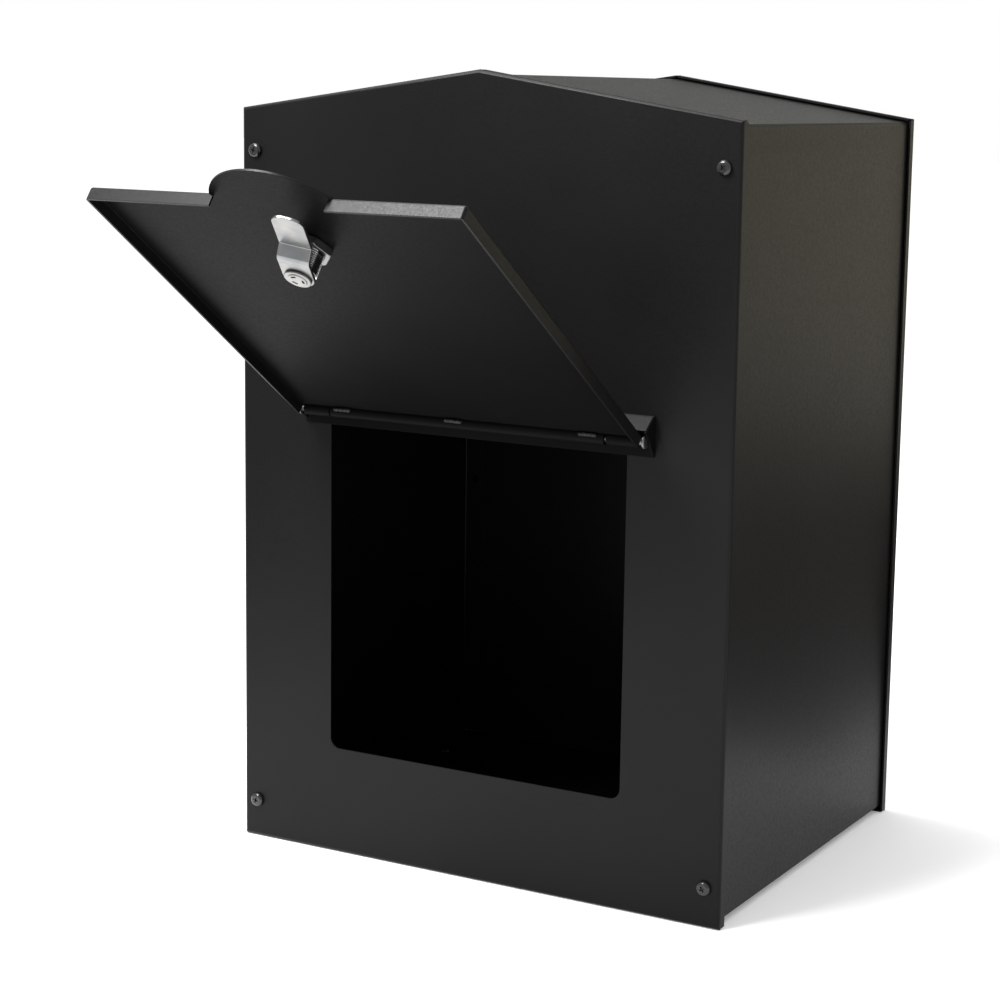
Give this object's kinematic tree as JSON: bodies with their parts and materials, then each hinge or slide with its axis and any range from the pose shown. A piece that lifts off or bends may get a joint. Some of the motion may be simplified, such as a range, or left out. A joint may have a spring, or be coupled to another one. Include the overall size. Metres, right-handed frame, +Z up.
{
  "type": "parcel drop box",
  "caption": "Folded-steel parcel drop box with a gabled roof and a top-hinged, cam-locked hatch under a small rain hood, standing open over a rounded rectangular opening.",
  "frame": {"origin": "centre of the rear panel's outer face, half way up the box", "axes": "+Z up, -Y out of the front towards the person posting, +Y into a wall behind the box, +X to the right of a person facing the front"},
  "size_m": [0.36, 0.5209, 0.521],
  "materials": {
    "powder_coat": "fine-textured satin black powder coat",
    "black_screw": "black-plated, semi-gloss",
    "bare_steel": "plain drawn steel",
    "lock_chrome": "bright nickel-chrome plate with a slight grain",
    "rivet_aluminium": "dull aluminium"
  },
  "bodies": {
    "box": {"front_panel": "powder_coat", "body_sleeve": "powder_coat", "rear_panel": "powder_coat", "floor_pan": "powder_coat", "hinge_hood": "powder_coat", "fixed_knuckle_left": "powder_coat", "fixed_knuckle_right": "powder_coat", "hinge_pin": "bare_steel", "pin_cap": "bare_steel", "front_screw_1": "black_screw", "front_screw_2": "black_screw", "front_screw_3": "black_screw", "front_screw_4": "black_screw", "front_insert_1": "bare_steel", "front_insert_2": "bare_steel", "front_insert_3": "bare_steel", "front_insert_4": "bare_steel", "rear_rivet_1": "rivet_aluminium", "rear_rivet_2": "rivet_aluminium", "rear_rivet_3": "rivet_aluminium", "rear_rivet_4": "rivet_aluminium", "rear_rivet_5": "rivet_aluminium", "rear_rivet_6": "rivet_aluminium"},
    "door": {"door_panel": "powder_coat", "door_hinge_tube": "powder_coat", "lock_barrel": "lock_chrome", "lock_nut": "lock_chrome"},
    "lock_core": {"lock_plug": "lock_chrome", "lock_stop_washer": "lock_chrome", "lock_cam": "lock_chrome", "lock_cam_screw": "lock_chrome"}
  },
  "joints": [
    {"name": "door_hinge", "type": "hinge", "parent": "box", "child": "door", "pos_m": [0, -0.2928, 0.0404], "axis": [-1, 0, 0], "range_deg": [-125.8, 3]},
    {"name": "lock_turn", "type": "hinge", "parent": "door", "child": "lock_core", "pos_m": [0, -0.46194, 0.1606], "axis": [0, 0.5793, 0.8151], "range_deg": [-19.3, 70.7]}
  ]
}
